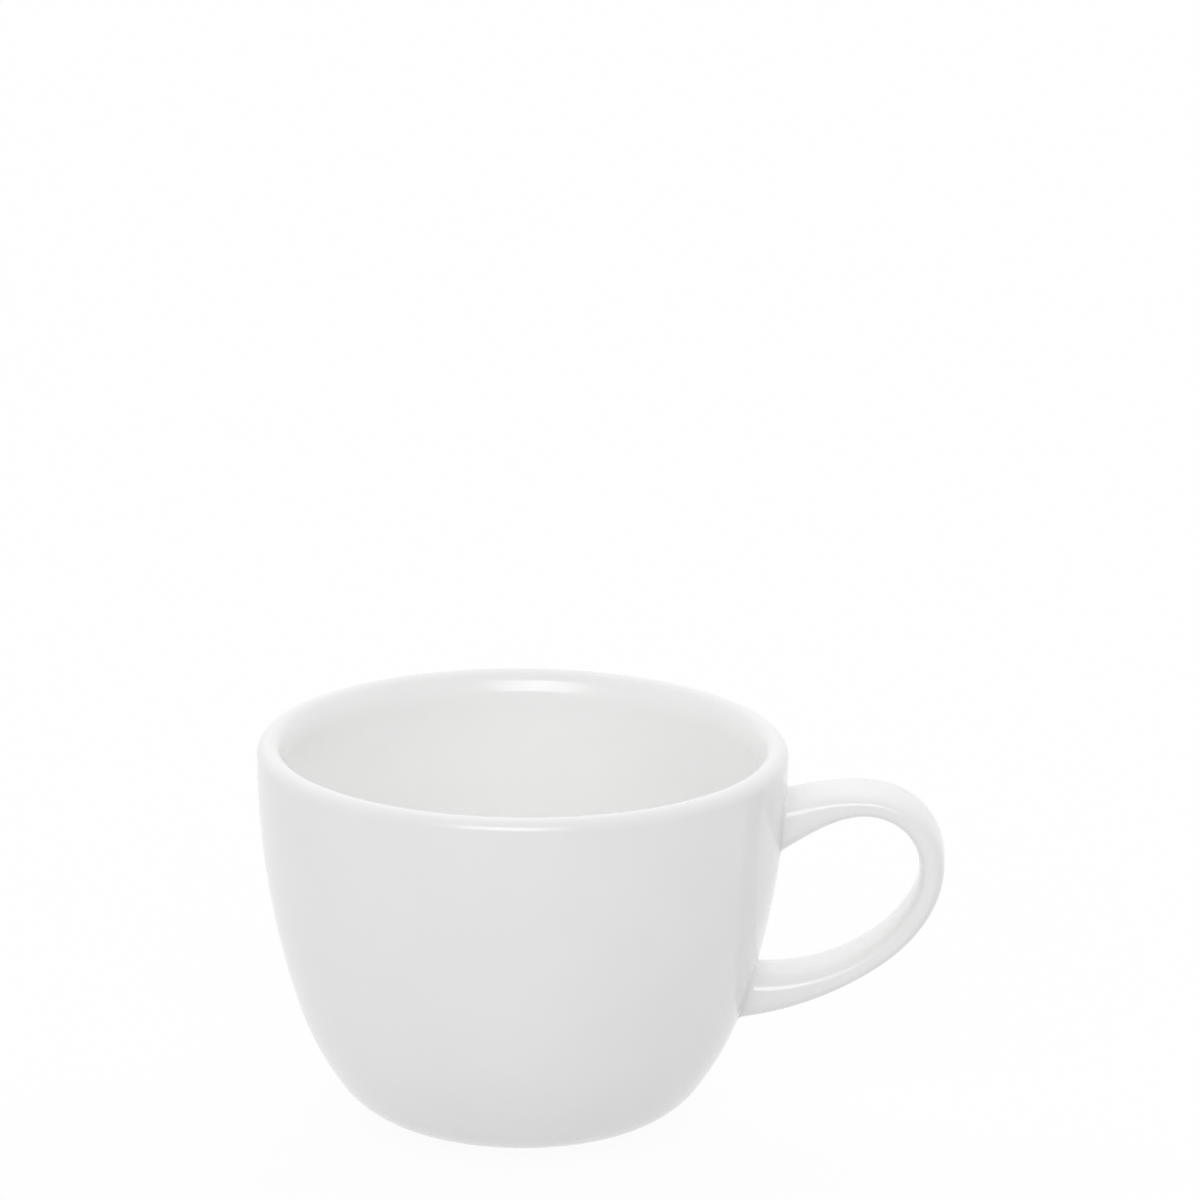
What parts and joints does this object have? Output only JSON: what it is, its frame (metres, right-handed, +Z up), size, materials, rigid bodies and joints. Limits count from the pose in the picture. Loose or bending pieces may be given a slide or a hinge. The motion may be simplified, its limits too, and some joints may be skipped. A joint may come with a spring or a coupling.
{
  "type": "espresso cup",
  "caption": "White glazed porcelain espresso cup: a round-bottomed bowl with a lip rolled into the inside, a low foot ring and an ear-shaped strap handle for one finger.",
  "frame": {"origin": "centre of the foot ring's face, on the cup's axis, on the table", "axes": "+Z up along the cup's axis, +X from the axis to the handle"},
  "size_m": [0.0857, 0.066, 0.0486],
  "materials": {
    "body_glaze": "clear gloss glaze over white porcelain, bare on the face of the foot ring",
    "handle_glaze": "clear gloss glaze over white porcelain",
    "slip_glaze": "clear gloss glaze, pooled in the corner round the handle's root"
  },
  "bodies": {
    "root": {"cup_body": "body_glaze", "handle": "handle_glaze", "upper_slip_joint": "slip_glaze", "lower_slip_joint": "slip_glaze"}
  },
  "joints": []
}
